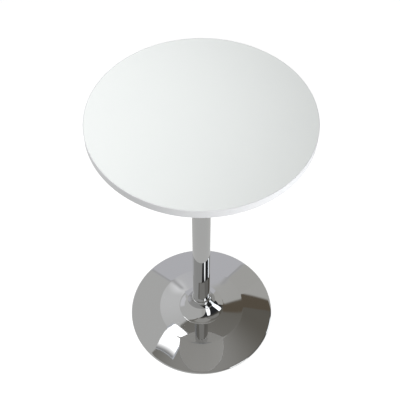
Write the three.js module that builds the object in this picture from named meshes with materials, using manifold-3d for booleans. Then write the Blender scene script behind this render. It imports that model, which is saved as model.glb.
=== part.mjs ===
// Round pedestal table: a white round top on one chrome tube and a chrome base with a flared neck.
// Millimetres, +Z up. The origin is the centre of the base, on the floor.
import * as THREE from 'three';
import { mergeVertices } from 'three/addons/utils/BufferGeometryUtils.js';
import Module from 'manifold-3d';

// ---- Driving dimensions ----
const TABLE_HEIGHT = 1000;
const TOP_RADIUS = 300;
const TOP_THICKNESS = 25;
const BASE_RADIUS = 250;
const COLUMN_RADIUS = 28.5;
const COLUMN_WALL = 1.5;
const GAP = 0.3; // clearance between neighbouring pieces
const CUT_MARGIN = 1; // how far a cutting tool stands out of what it cuts

// Table top
const LAMINATE = 0.8;
const EDGE_BAND = 1.5;
const TOP_UNDERSIDE = TABLE_HEIGHT - TOP_THICKNESS;
const BOLT_RECESS_RADIUS = 18;
const BOLT_RECESS_DEPTH = 15;

// Plate under the top, and its fastenings
const PLATE_RADIUS = 120;
const PLATE_THICKNESS = 4;
const PLATE_TOP = TOP_UNDERSIDE - GAP;
const PLATE_UNDERSIDE = PLATE_TOP - PLATE_THICKNESS;
const SOCKET_WALL = 3;
const SOCKET_HEIGHT = 30;
const PLATE_SCREW_COUNT = 6;
const PLATE_SCREW_CIRCLE = 100; // radius of the circle that the screws stand on
const M6 = { shank: 2.9, clearance: 3.4, point: 1, endBelowInsert: 2 };
const PAN_HEAD = { radius: 5.5, height: 3.6, crownRadius: 4.1, shoulderHeight: 1.6 };
const HEX_SOCKET = { across: 5, depth: 2 };
const INSERT = { radius: 5, flange: 6.5, flangeHeight: 1.5, length: 15 };
const PLATE_WASHER = { radius: 7, thickness: 1.2 };

// Column
const PLUG_THICKNESS = 12;
const COLUMN_TOP = PLATE_UNDERSIDE - GAP;

// M12 bolts and their washers
const M12 = { shank: 5.8, clearance: 6.5, tapped: 6.1, headAcross: 18, headHeight: 7.5, endInsidePlug: 1 };
const M12_WASHER = { radius: 12, thickness: 2.5 };
const M12_SPRING_WASHER = { radius: 10, thickness: 2.6 };

// Base shell: rim wall, rolled rim, cone, crease, raised shoulder, fillet, flare, neck
const degrees = THREE.MathUtils.degToRad;
const SHELL_WALL = 1.5;
const RIM_FOOT = 2; // height of the shell's cut edge above the floor
const RIM_WALL = 2;
const RIM_ROLL = 4;
const CONE = { outerSlope: degrees(13.75), innerSlope: degrees(12.4), innerRadius: 151 };
const SHOULDER = { outerSlope: degrees(2.5), innerSlope: degrees(1.8), outerRadius: 146 };
const NECK_RADIUS = 33;
const FLARE = { radius: 63.4, footSlope: degrees(18), fillet: 5 };
const COLLAR = { height: 5, round: 2.5 };

// Inside the base
const BALLAST = { radius: 165, underside: 11, thickness: 13, boreDepth: 6, boreRadius: 18, edge: 2 };
const HUB_RADIUS = 24;
const HUB_WALL = 4;
const RATTLE_RING = { inner: 120, outer: 142 };
const FLOOR_RING = { inner: 240, height: 5.9, chamfer: 1.6 };

// Facets round each kind of piece
const FACETS = { large: 96, medium: 60, small: 32, bolt: 16 };
const ARC_STEPS = { roll: 3, cone: 2, crease: 2, shoulder: 1, fillet: 2, flare: 8, collar: 4 };

// ---- Worked-out shape of the base's shell ----
// Each part of the shell up to the shoulder is a convex arc between two stations. A station is a point of
// the outer face: its radius, its height and its slope down and outwards. From the shoulder a small concave
// fillet leads into the flare, whose larger concave arc ends upright at the neck.
const station = (radius, height, slope) => ({ radius, height, slope });

// The arc that leaves one station at its slope and has another slope at a smaller radius.
function arcInwards(outer, radius, slope) {
  const bend = (outer.radius - radius) / (Math.sin(outer.slope) - Math.sin(slope));
  const centre = [outer.radius - bend * Math.sin(outer.slope), outer.height - bend * Math.cos(outer.slope)];
  return { centre, bend, outer, inner: station(radius, centre[1] + bend * Math.cos(slope), slope) };
}

const upright = Math.PI / 2;
const rimTop = station(BASE_RADIUS, RIM_FOOT + RIM_WALL, upright);
const rollArc = arcInwards(rimTop, BASE_RADIUS - RIM_ROLL * (1 - Math.sin(CONE.outerSlope)), CONE.outerSlope);
const coneArc = arcInwards(rollArc.inner, CONE.innerRadius, CONE.innerSlope);
const creaseArc = arcInwards(coneArc.inner, SHOULDER.outerRadius, SHOULDER.outerSlope);
const flareFootRadius = NECK_RADIUS + FLARE.radius * (1 - Math.sin(FLARE.footSlope));
const filletRun = FLARE.fillet * (Math.sin(FLARE.footSlope) - Math.sin(SHOULDER.innerSlope));
const filletRise = FLARE.fillet * (Math.cos(SHOULDER.innerSlope) - Math.cos(FLARE.footSlope));
const shoulderArc = arcInwards(creaseArc.inner, flareFootRadius + filletRun, SHOULDER.innerSlope);
const neckTop = shoulderArc.inner.height + filletRise + FLARE.radius * Math.cos(FLARE.footSlope);

// ---- Materials ----
const finish = (color, roughness, metalness) =>
  new THREE.MeshStandardMaterial({ color, roughness, metalness });
const FINISHES = {
  laminate: () => finish(0xe6e9e9, 0.25, 0),
  board: () => finish(0xb08a5e, 0.8, 0),
  chrome: () => finish(0xd8dadc, 0.05, 1),
  greyPaint: () => finish(0x8e9194, 0.45, 0.3),
  zincSteel: () => finish(0xb4b6b4, 0.35, 1),
  castIron: () => finish(0x3a3a3c, 0.7, 0.6),
  rubber: () => finish(0x1c1c1d, 0.85, 0),
};

const table = new THREE.Group();

function addPiece(name, geometry, material) {
  const mesh = new THREE.Mesh(geometry, material());
  mesh.name = name;
  table.add(mesh);
  return mesh;
}

// ---- Shapes ----
// A round piece: the outline's points are [radius, height] pairs, anticlockwise with the axis on the left.
function turned(outline, facets) {
  const points = outline.map(([radius, height]) => new THREE.Vector2(radius, height));
  if (outline[0][0] > 0) points.push(points[0].clone());
  const geometry = new THREE.LatheGeometry(points, facets);
  return geometry.rotateX(Math.PI / 2);
}

const disc = (radius, bottom, top, facets) =>
  turned([[0, bottom], [radius, bottom], [radius, top], [0, top]], facets);

const ring = (inner, outer, bottom, top, facets) =>
  turned([[inner, bottom], [outer, bottom], [outer, top], [inner, top]], facets);

// Points of an arc about [centreRadius, centreHeight], from one angle to another, in radians.
function arc([centreRadius, centreHeight], radius, from, to, steps) {
  return Array.from({ length: steps + 1 }, (_, i) => {
    const angle = from + ((to - from) * i) / steps;
    return [centreRadius + radius * Math.cos(angle), centreHeight + radius * Math.sin(angle)];
  });
}

// ---- Boolean cuts ----
const wasm = await Module();
wasm.setup();

function toSolid(geometry) {
  const bare = geometry.clone();
  bare.deleteAttribute('normal');
  bare.deleteAttribute('uv');
  const merged = mergeVertices(bare, 1e-3);
  const mesh = new wasm.Mesh({
    numProp: 3,
    vertProperties: new Float32Array(merged.attributes.position.array),
    triVerts: new Uint32Array(merged.index.array),
  });
  return new wasm.Manifold(mesh);
}

function toGeometry(solid) {
  const mesh = solid.getMesh();
  const geometry = new THREE.BufferGeometry();
  geometry.setAttribute('position', new THREE.BufferAttribute(new Float32Array(mesh.vertProperties), 3));
  geometry.setIndex(new THREE.BufferAttribute(new Uint32Array(mesh.triVerts), 1));
  geometry.computeVertexNormals();
  return geometry;
}

const cut = (geometry, cutters) =>
  toGeometry(cutters.reduce((solid, cutter) => solid.subtract(toSolid(cutter)), toSolid(geometry)));

// ---- Fastenings ----
const screwPlaces = Array.from({ length: PLATE_SCREW_COUNT }, (_, i) => {
  const angle = (2 * Math.PI * i) / PLATE_SCREW_COUNT;
  return [PLATE_SCREW_CIRCLE * Math.cos(angle), PLATE_SCREW_CIRCLE * Math.sin(angle)];
});

const atScrews = (radius, bottom, top) =>
  screwPlaces.map(([x, y]) => disc(radius, bottom, top, FACETS.bolt).translate(x, y, 0));

function hexPrism(acrossFlats, bottom, top) {
  const radius = acrossFlats / Math.sqrt(3);
  return new THREE.CylinderGeometry(radius, radius, top - bottom, 6)
    .rotateX(Math.PI / 2)
    .translate(0, 0, (top + bottom) / 2);
}

// A hexagon bolt whose head starts at headFace; direction is +1 with the shank upwards, -1 downwards.
function hexBolt(headFace, shankEnd, direction) {
  const headEnd = headFace - direction * M12.headHeight;
  const overlap = headFace - direction * CUT_MARGIN;
  const head = toSolid(hexPrism(M12.headAcross, Math.min(headFace, headEnd), Math.max(headFace, headEnd)));
  const low = Math.min(overlap, shankEnd);
  const high = Math.max(overlap, shankEnd);
  return toGeometry(head.add(toSolid(disc(M12.shank, low, high, FACETS.bolt))));
}

// ---- Table top ----
function addTableTop() {
  const boardRadius = TOP_RADIUS - EDGE_BAND - GAP;
  const boardTop = TABLE_HEIGHT - LAMINATE - GAP;
  const boardBottom = TOP_UNDERSIDE + LAMINATE + GAP;
  const recessTop = TOP_UNDERSIDE + BOLT_RECESS_DEPTH;
  const insertTop = TOP_UNDERSIDE + INSERT.length + GAP;
  const holes = (from) => [
    disc(BOLT_RECESS_RADIUS, from, recessTop, FACETS.small),
    ...atScrews(INSERT.flange + GAP, from, insertTop),
  ];

  addPiece('top_laminate', disc(boardRadius, TABLE_HEIGHT - LAMINATE, TABLE_HEIGHT, FACETS.large),
    FINISHES.laminate);
  addPiece('edge_band', ring(TOP_RADIUS - EDGE_BAND, TOP_RADIUS, TOP_UNDERSIDE, TABLE_HEIGHT, FACETS.large),
    FINISHES.laminate);
  const board = disc(boardRadius, boardBottom, boardTop, FACETS.large);
  addPiece('tabletop_core', cut(board, holes(boardBottom - CUT_MARGIN)), FINISHES.board);
  const sheet = disc(boardRadius, TOP_UNDERSIDE, TOP_UNDERSIDE + LAMINATE, FACETS.large);
  addPiece('bottom_laminate', cut(sheet, holes(TOP_UNDERSIDE - CUT_MARGIN)), FINISHES.laminate);
}

// ---- Plate and its screws, washers and inserts ----
function addTopPlate() {
  const holes = [
    disc(M12.clearance, PLATE_UNDERSIDE - CUT_MARGIN, PLATE_TOP + CUT_MARGIN, FACETS.bolt),
    ...atScrews(M6.clearance, PLATE_UNDERSIDE - CUT_MARGIN, PLATE_TOP + CUT_MARGIN),
  ];
  addPiece('top_plate', cut(disc(PLATE_RADIUS, PLATE_UNDERSIDE, PLATE_TOP, FACETS.medium), holes),
    FINISHES.greyPaint);

  const socketInner = COLUMN_RADIUS + GAP;
  addPiece('plate_socket',
    ring(socketInner, socketInner + SOCKET_WALL, PLATE_UNDERSIDE - GAP - SOCKET_HEIGHT, PLATE_UNDERSIDE - GAP,
      FACETS.medium),
    FINISHES.greyPaint);

  const washerTop = PLATE_UNDERSIDE - GAP;
  const headTop = washerTop - PLATE_WASHER.thickness - GAP;
  const shankEnd = TOP_UNDERSIDE + INSERT.length - M6.endBelowInsert;
  screwPlaces.forEach(([x, y], i) => {
    const place = (name, geometry) =>
      addPiece(`${name}_${i + 1}`, geometry, FINISHES.zincSteel).position.set(x, y, 0);
    place('plate_screw', panHeadScrew(headTop, shankEnd));
    place('plate_washer',
      ring(M6.clearance, PLATE_WASHER.radius, washerTop - PLATE_WASHER.thickness, washerTop, FACETS.bolt));
    place('plate_insert', threadedInsert(TOP_UNDERSIDE + GAP, TOP_UNDERSIDE + INSERT.length));
  });
}

// A pan-head screw, shank upwards, with a hexagon socket in its head.
function panHeadScrew(headTop, shankEnd) {
  const headBottom = headTop - PAN_HEAD.height;
  const body = turned([
    [0, headBottom],
    [PAN_HEAD.crownRadius, headBottom],
    [PAN_HEAD.radius, headBottom + PAN_HEAD.shoulderHeight],
    [PAN_HEAD.radius, headTop],
    [M6.shank, headTop],
    [M6.shank, shankEnd - M6.point],
    [M6.shank - M6.point, shankEnd],
    [0, shankEnd],
  ], FACETS.bolt);
  return cut(body, [hexPrism(HEX_SOCKET.across, headBottom - CUT_MARGIN, headBottom + HEX_SOCKET.depth)]);
}

// A flanged tube, its flange at the open end.
function threadedInsert(bottom, top) {
  const bore = M6.shank + GAP;
  const shoulder = bottom + INSERT.flangeHeight;
  return turned([
    [bore, bottom],
    [INSERT.flange, bottom],
    [INSERT.flange, shoulder],
    [INSERT.radius, shoulder],
    [INSERT.radius, top],
    [bore, top],
  ], FACETS.bolt);
}

// ---- Column, its plugs and the bolt from the plate ----
function addColumn() {
  const boreRadius = COLUMN_RADIUS - COLUMN_WALL;
  const foot = neckTop + GAP;
  addPiece('column_tube', ring(boreRadius, COLUMN_RADIUS, foot, COLUMN_TOP, FACETS.medium), FINISHES.chrome);

  const plug = (bottom) => ring(M12.tapped, boreRadius - GAP, bottom, bottom + PLUG_THICKNESS, FACETS.small);
  addPiece('column_foot_plug', plug(foot), FINISHES.zincSteel);
  addPiece('column_top_plug', plug(COLUMN_TOP - PLUG_THICKNESS), FINISHES.zincSteel);

  const washerTop = addWashers('top', PLATE_TOP + GAP, 1);
  const topBoltEnd = COLUMN_TOP - PLUG_THICKNESS + M12.endInsidePlug;
  addPiece('top_bolt', hexBolt(washerTop, topBoltEnd, -1), FINISHES.zincSteel);
  addPiece('neck_collar', collar(), FINISHES.chrome);
}

// A flat washer and then a spring washer, stacked from a face in a direction. Returns the next face.
function addWashers(prefix, face, direction) {
  const stack = (name, { radius, thickness }, start) => {
    const end = start + direction * thickness;
    const washer = ring(M12.clearance, radius, Math.min(start, end), Math.max(start, end), FACETS.small);
    addPiece(`${prefix}_${name}`, washer, FINISHES.zincSteel);
    return end + direction * GAP;
  };
  return stack('spring_washer', M12_SPRING_WASHER, stack('washer', M12_WASHER, face));
}

// The ring round the column's foot: flat inside and below, rounded outside and above.
function collar() {
  const inner = COLUMN_RADIUS + GAP;
  const bottom = neckTop + GAP;
  const top = bottom + COLLAR.height;
  const roundCentre = [NECK_RADIUS - COLLAR.round, top - COLLAR.round];
  return turned([
    [inner, bottom],
    [NECK_RADIUS, bottom],
    ...arc(roundCentre, COLLAR.round, 0, upright, ARC_STEPS.collar),
    [inner, top],
  ], FACETS.medium);
}

// ---- Base ----
// The shell's outline at a depth below its outer face, from the rim's cut edge to the neck's flat top.
function shellOutline(depth) {
  const along = ({ centre, bend, outer, inner }, steps) =>
    arc(centre, bend - depth, upright - outer.slope, upright - inner.slope, steps);
  const { radius, height, slope } = shoulderArc.inner;
  const filletCentre = [radius + FLARE.fillet * Math.sin(slope), height + FLARE.fillet * Math.cos(slope)];
  const flareCentre = [NECK_RADIUS + FLARE.radius, neckTop];
  const flareFoot = -upright - FLARE.footSlope;
  return [
    [BASE_RADIUS - depth, RIM_FOOT],
    ...along(rollArc, ARC_STEPS.roll),
    ...along(coneArc, ARC_STEPS.cone).slice(1),
    ...along(creaseArc, ARC_STEPS.crease).slice(1),
    ...along(shoulderArc, ARC_STEPS.shoulder).slice(1),
    ...arc(filletCentre, FLARE.fillet + depth, -upright - slope, flareFoot, ARC_STEPS.fillet).slice(1),
    ...arc(flareCentre, FLARE.radius + depth, flareFoot, -Math.PI, ARC_STEPS.flare).slice(1, -1),
    [NECK_RADIUS - depth, neckTop - depth],
    [M12.clearance, neckTop - depth],
  ];
}

// The height of the shell's inner face at a radius.
function shellUnderside(radius) {
  const inside = shellOutline(SHELL_WALL);
  const next = inside.findIndex(([reach]) => reach <= radius);
  const [[outerRadius, outerHeight], [innerRadius, innerHeight]] = [inside[next - 1], inside[next]];
  const part = (outerRadius - radius) / (outerRadius - innerRadius);
  return outerHeight + part * (innerHeight - outerHeight);
}

function addBase() {
  const outside = shellOutline(0);
  const inside = shellOutline(SHELL_WALL).reverse();
  addPiece('base_shell', turned([...outside, ...inside], FACETS.medium), FINISHES.chrome);

  const ballastTop = BALLAST.underside + BALLAST.thickness;
  const boreTop = BALLAST.underside + BALLAST.boreDepth;
  addPiece('ballast_disc', turned([
    [BALLAST.boreRadius, BALLAST.underside],
    [BALLAST.radius, BALLAST.underside],
    [BALLAST.radius, ballastTop - BALLAST.edge],
    [BALLAST.radius - BALLAST.edge, ballastTop],
    [M12.clearance, ballastTop],
    [M12.clearance, boreTop],
    [BALLAST.boreRadius, boreTop],
  ], FACETS.medium), FINISHES.castIron);

  addPiece('hub_tube',
    ring(HUB_RADIUS - HUB_WALL, HUB_RADIUS, ballastTop + GAP, neckTop - SHELL_WALL - GAP, FACETS.small),
    FINISHES.zincSteel);

  const { inner, outer } = RATTLE_RING;
  addPiece('rattle_ring', turned([
    [inner, ballastTop + GAP],
    [outer, ballastTop + GAP],
    [outer, shellUnderside(outer) - GAP],
    [inner, shellUnderside(inner) - GAP],
  ], FACETS.medium), FINISHES.rubber);

  const foot = neckTop + GAP;
  const boltFace = addWashers('foot', boreTop - GAP, -1);
  addPiece('foot_bolt', hexBolt(boltFace, foot + PLUG_THICKNESS - M12.endInsidePlug, 1), FINISHES.zincSteel);

  const ringOuter = BASE_RADIUS - SHELL_WALL - GAP;
  addPiece('floor_ring', turned([
    [FLOOR_RING.inner, 0],
    [ringOuter, 0],
    [ringOuter, FLOOR_RING.height - FLOOR_RING.chamfer],
    [ringOuter - FLOOR_RING.chamfer, FLOOR_RING.height],
    [FLOOR_RING.inner, FLOOR_RING.height],
  ], FACETS.medium), FINISHES.rubber);
}

addTableTop();
addTopPlate();
addColumn();
addBase();

export default table;
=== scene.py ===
"""Round pedestal bar table: a white laminate top, a chrome tube column and a weighted chrome base."""

import logging
import math
from dataclasses import dataclass
from enum import Enum
from typing import Any, Callable, Iterable

import bmesh
import bpy
from mathutils import Matrix, Vector


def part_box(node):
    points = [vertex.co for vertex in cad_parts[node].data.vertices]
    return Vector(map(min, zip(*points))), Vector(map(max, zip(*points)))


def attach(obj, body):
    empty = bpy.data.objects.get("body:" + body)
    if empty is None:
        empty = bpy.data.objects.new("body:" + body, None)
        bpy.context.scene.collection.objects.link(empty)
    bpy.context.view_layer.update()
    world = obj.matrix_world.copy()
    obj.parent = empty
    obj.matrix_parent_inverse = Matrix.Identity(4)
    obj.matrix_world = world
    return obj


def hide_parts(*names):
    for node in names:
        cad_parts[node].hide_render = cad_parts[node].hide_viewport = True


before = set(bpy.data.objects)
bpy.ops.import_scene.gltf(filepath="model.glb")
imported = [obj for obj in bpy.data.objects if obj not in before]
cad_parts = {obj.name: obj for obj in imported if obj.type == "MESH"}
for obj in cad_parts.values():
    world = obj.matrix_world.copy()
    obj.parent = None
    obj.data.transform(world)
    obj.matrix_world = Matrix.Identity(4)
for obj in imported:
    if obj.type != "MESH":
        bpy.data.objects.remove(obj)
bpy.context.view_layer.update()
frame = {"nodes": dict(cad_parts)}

MM = 0.001
HEXAGON = math.sqrt(3)
FULL_TURN = 2 * math.pi
QUARTER_TURN = math.pi / 2
SHARP_ANGLE = math.radians(28)
FLAT_ANGLE = math.radians(0.5)
ROOT = "root"
FLOAT_SOCKET = "NodeSocketFloat"
SCREW_COUNT = 6

Point2 = tuple[float, float]
Point3 = tuple[float, float, float]
Colour = tuple[float, float, float]
Socket = bpy.types.NodeSocket
WHITE: Colour = (1.0, 1.0, 1.0)
log = logging.getLogger("pedestal_table")


class Slot(Enum):
    """The record's material slots."""

    LAMINATE = "white_laminate"
    EDGE = "white_edge"
    BOARD = "board"
    CHROME = "chrome"
    PAINT = "grey_paint"
    ZINC = "zinc_steel"
    IRON = "cast_iron"
    RUBBER = "black_rubber"


class Cut(Enum):
    """How one solid works on another."""

    DIFFERENCE = "DIFFERENCE"
    INTERSECT = "INTERSECT"


# ---------------------------------------------------------------- node trees


class Graph:
    """Adds nodes to a shader tree and joins them."""

    def __init__(self, tree: bpy.types.NodeTree) -> None:
        """Takes the tree to build in, and empties it.

        Args:
            tree: The node tree of a material, a world or a group.
        """
        self.tree = tree
        tree.nodes.clear()

    def node(self, kind: str, inputs: dict[str, Any] | None = None, **settings: Any) -> bpy.types.Node:
        """Adds a node.

        Args:
            kind: The node's class name without its "ShaderNode" start, or a whole class name.
            inputs: Values or sockets for the node's inputs, by name or by number.
            **settings: Values for the node's own properties.

        Returns:
            The new node.
        """
        whole = kind if kind.startswith(("NodeGroup", "ShaderNode")) else "ShaderNode" + kind
        made = self.tree.nodes.new(whole)
        for name, value in settings.items():
            setattr(made, name, value)
        for name, value in (inputs or {}).items():
            self.feed(made.inputs[name], value)
        return made

    def feed(self, into: Socket, value: Any) -> None:
        """Joins a socket to an input, or sets the input to a plain value.

        Args:
            into: The input.
            value: The socket or the value.
        """
        if isinstance(value, bpy.types.NodeSocket):
            self.tree.links.new(value, into)
        else:
            into.default_value = value

    def math(self, operation: str, first: Any, second: Any = 0.0, clamp: bool = False) -> Socket:
        """Adds a Math node and returns its result."""
        made = self.node("Math", {0: first, 1: second}, operation=operation, use_clamp=clamp)
        return made.outputs[0]

    def ramp(
        self, value: Any, low: float, high: float, to_low: float = 0.0, to_high: float = 1.0
    ) -> Socket:
        """Adds a smooth Map Range node.

        Args:
            value: What is mapped.
            low: The value that gives to_low.
            high: The value that gives to_high.
            to_low: The result at low.
            to_high: The result at high.

        Returns:
            The mapped value.
        """
        made = self.node(
            "MapRange",
            {"Value": value, "From Min": low, "From Max": high, "To Min": to_low, "To Max": to_high},
            interpolation_type="SMOOTHSTEP",
        )
        return made.outputs["Result"]

    def blend(self, mask: Any, first: Any, second: Any) -> Socket:
        """Mixes two colours.

        Args:
            mask: What goes from 0 to 1.
            first: The colour where the mask is 0.
            second: The colour where it is 1.

        Returns:
            The mixed colour.
        """
        made = self.node("Mix", data_type="RGBA")
        self.feed(made.inputs["Factor"], mask)
        self.feed(made.inputs[6], first)
        self.feed(made.inputs[7], second)
        return made.outputs[2]

    def noise(self, place: Socket, scale: Any, detail: float = 3.0, roughness: float = 0.5) -> Socket:
        """Adds a Noise Texture.

        Args:
            place: Where it is read.
            scale: How fine it is, in waves to a metre.
            detail: How many finer layers it has.
            roughness: How strong they are.

        Returns:
            Its value.
        """
        made = self.node(
            "TexNoise", {"Vector": place, "Scale": scale, "Detail": detail, "Roughness": roughness}
        )
        return made.outputs["Fac"]


def rgba(colour: Colour) -> tuple[float, float, float, float]:
    """A colour with full alpha."""
    return (*colour, 1.0)


def effect(
    name: str,
    inputs: dict[str, float],
    outputs: Iterable[str],
    build: Callable[[Graph, bpy.types.Node, Socket], dict[str, Socket]],
) -> bpy.types.NodeTree:
    """Makes a shader group that several finishes share.

    Args:
        name: The group's name.
        inputs: The named inputs and their usual values.
        outputs: The named outputs.
        build: Adds the group's nodes. It gets the graph, the input node and the piece's own place, and
            returns the socket for each output.

    Returns:
        The group.
    """
    group = bpy.data.node_groups.new(name, "ShaderNodeTree")
    for label, usual in inputs.items():
        entrance = group.interface.new_socket(label, in_out="INPUT", socket_type=FLOAT_SOCKET)
        entrance.default_value = usual
    for label in outputs:
        group.interface.new_socket(label, in_out="OUTPUT", socket_type=FLOAT_SOCKET)
    graph = Graph(group)
    entry = graph.node("NodeGroupInput")
    place = graph.node("TexCoord").outputs["Object"]
    results = build(graph, entry, place)
    leave = graph.node("NodeGroupOutput")
    for label, socket in results.items():
        group.links.new(socket, leave.inputs[label])
    return group


class Effects:
    """The shader groups that the finishes share, each made once."""

    MASK_GAIN: float = 4.0
    STREAK_FINENESS: float = 14.0
    STREAK_SHARE: float = 0.2
    BARE_START: float = 0.78
    COVER_REACH: float = 0.4
    PATCHY_SHARE: float = 0.6
    STANDING_DUST: float = 0.35

    def __init__(self) -> None:
        """Makes the groups."""
        self.smudge = effect("smudge", {"Scale": 9.0, "Cover": 0.5}, ["Mask"], self._smudge)
        self.grain = effect("grain", {"Scale": 900.0, "Stretch": 1.0}, ["Mask", "Height"], self._grain)
        self.turning = effect("turning_marks", {"Spacing": 0.0004}, ["Height", "Mask"], self._turning)
        self.wear = effect("edge_wear", {"Amount": 0.5, "Scale": 120.0}, ["Mask"], self._wear)
        self.dust = effect("dust", {"Amount": 0.4, "Scale": 60.0}, ["Mask"], self._dust)
        self.ripple = effect("press_ripple", {"Scale": 11.0}, ["Height"], self._ripple)

    @staticmethod
    def _smudge(graph: Graph, entry: bpy.types.Node, place: Socket) -> dict[str, Socket]:
        """Soft blotches such as wiped polish leaves, broken up by finer streaks.

        Args:
            graph: The group's graph.
            entry: Its input node.
            place: The piece's own place.

        Returns:
            The socket for each output.
        """
        broad = graph.noise(place, entry.outputs["Scale"], 4.0, 0.62)
        streak_scale = graph.math("MULTIPLY", entry.outputs["Scale"], Effects.STREAK_FINENESS)
        fine = graph.noise(place, streak_scale, 2.0)
        blotches = graph.math("MULTIPLY", broad, 1.0 - Effects.STREAK_SHARE)
        mixed = graph.math("ADD", blotches, graph.math("MULTIPLY", fine, Effects.STREAK_SHARE))
        covered = graph.math("MULTIPLY", entry.outputs["Cover"], Effects.COVER_REACH)
        over = graph.math("SUBTRACT", mixed, graph.math("SUBTRACT", Effects.BARE_START, covered))
        return {"Mask": graph.math("MULTIPLY", over, Effects.MASK_GAIN, clamp=True)}

    @staticmethod
    def _grain(graph: Graph, entry: bpy.types.Node, place: Socket) -> dict[str, Socket]:
        """Fine even grain, drawn out along Z by the stretch.

        Args:
            graph: The group's graph.
            entry: Its input node.
            place: The piece's own place.

        Returns:
            The socket for each output.
        """
        stretch = graph.node("CombineXYZ", {"X": 1.0, "Y": 1.0, "Z": entry.outputs["Stretch"]})
        drawn = graph.node("VectorMath", {0: place, 1: stretch.outputs[0]}, operation="MULTIPLY")
        fine = graph.noise(drawn.outputs[0], entry.outputs["Scale"], 2.0, 0.6)
        return {"Mask": graph.ramp(fine, 0.38, 0.66), "Height": fine}

    @staticmethod
    def _turning(graph: Graph, entry: bpy.types.Node, place: Socket) -> dict[str, Socket]:
        """Fine rings round the column's axis, as a lathe tool leaves.

        Args:
            graph: The group's graph.
            entry: Its input node.
            place: The piece's own place.

        Returns:
            The socket for each output.
        """
        split = graph.node("SeparateXYZ", {0: place})
        flat = graph.node("CombineXYZ", {"X": split.outputs["X"], "Y": split.outputs["Y"], "Z": 0.0})
        reach = graph.node("VectorMath", {0: flat.outputs[0]}, operation="LENGTH").outputs["Value"]
        both = graph.math("ADD", reach, split.outputs["Z"])
        along = graph.math("DIVIDE", both, entry.outputs["Spacing"])
        lines = graph.node("TexNoise", {"W": along, "Detail": 2.0}, noise_dimensions="1D")
        value = lines.outputs["Fac"]
        return {"Height": value, "Mask": graph.ramp(value, 0.35, 0.7)}

    @staticmethod
    def _wear(graph: Graph, entry: bpy.types.Node, place: Socket) -> dict[str, Socket]:
        """Edges rubbed through, more in some places than in others.

        Args:
            graph: The group's graph.
            entry: Its input node.
            place: The piece's own place.

        Returns:
            The socket for each output.
        """
        point = graph.node("NewGeometry").outputs["Pointiness"]
        patchy = graph.noise(place, entry.outputs["Scale"], 4.0, 0.65)
        patches = graph.math("MULTIPLY", patchy, Effects.PATCHY_SHARE)
        raised = graph.math("ADD", graph.ramp(point, 0.52, 0.62), patches)
        over = graph.math("MULTIPLY", graph.math("SUBTRACT", raised, 1.0), Effects.MASK_GAIN)
        return {"Mask": graph.math("MULTIPLY", over, entry.outputs["Amount"], clamp=True)}

    @staticmethod
    def _dust(graph: Graph, entry: bpy.types.Node, place: Socket) -> dict[str, Socket]:
        """Dust on what faces up, thinner where it has been brushed.

        Args:
            graph: The group's graph.
            entry: Its input node.
            place: The piece's own place.

        Returns:
            The socket for each output.
        """
        up = graph.node("SeparateXYZ", {0: graph.node("NewGeometry").outputs["Normal"]}).outputs["Z"]
        lying = graph.ramp(up, 0.1, 0.95)
        patchy = graph.ramp(graph.noise(place, entry.outputs["Scale"], 5.0, 0.6), 0.35, 0.75)
        dusty = graph.math("MULTIPLY", graph.math("ADD", lying, Effects.STANDING_DUST), patchy)
        return {"Mask": graph.math("MULTIPLY", dusty, entry.outputs["Amount"], clamp=True)}

    @staticmethod
    def _ripple(graph: Graph, entry: bpy.types.Node, place: Socket) -> dict[str, Socket]:
        """The slow unevenness of pressed and polished sheet."""
        return {"Height": graph.noise(place, entry.outputs["Scale"], 1.5, 0.45)}


class FinishGraph(Graph):
    """A material's nodes round one Principled BSDF."""

    def __init__(self, name: str, **constants: Any) -> None:
        """Makes the material.

        Args:
            name: The material's name.
            **constants: Plain values for the shader's inputs, with _ for a space.
        """
        self.material = bpy.data.materials.new(name)
        self.material.use_nodes = True
        super().__init__(self.material.node_tree)
        self.shader = self.node("BsdfPrincipled")
        self.node("OutputMaterial", {"Surface": self.shader.outputs[0]})
        for label, value in constants.items():
            self.shader.inputs[label.replace("_", " ")].default_value = value

    def use(self, group: bpy.types.NodeTree, output: str, **values: float) -> Socket:
        """Places a shared effect.

        Args:
            group: The effect.
            output: The output that is wanted.
            **values: The effect's own values here.

        Returns:
            That output.
        """
        placed = self.node("ShaderNodeGroup", node_tree=group)
        for label, value in values.items():
            placed.inputs[label].default_value = value
        return placed.outputs[output]

    def colour(self, socket: Socket) -> None:
        """Feeds the base colour."""
        self.feed(self.shader.inputs["Base Color"], socket)

    def roughness(self, mask: Socket, low: float, high: float) -> None:
        """Lets a mask move the roughness from low to high."""
        moved = self.node("MapRange", {"Value": mask, "To Min": low, "To Max": high})
        self.feed(self.shader.inputs["Roughness"], moved.outputs["Result"])

    def relief(self, *layers: tuple[Socket, float]) -> None:
        """Adds bump layers, the coarsest first.

        Args:
            *layers: For each layer, a height and the metres that a height of 1 stands for.
        """
        normal: Socket | None = None
        for height, depth in layers:
            bump = self.node("Bump", {"Height": height, "Distance": depth, "Strength": 1.0})
            if normal is not None:
                self.feed(bump.inputs["Normal"], normal)
            normal = bump.outputs["Normal"]
        if normal is not None:
            self.feed(self.shader.inputs["Normal"], normal)


# ---------------------------------------------------------------- finishes


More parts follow.
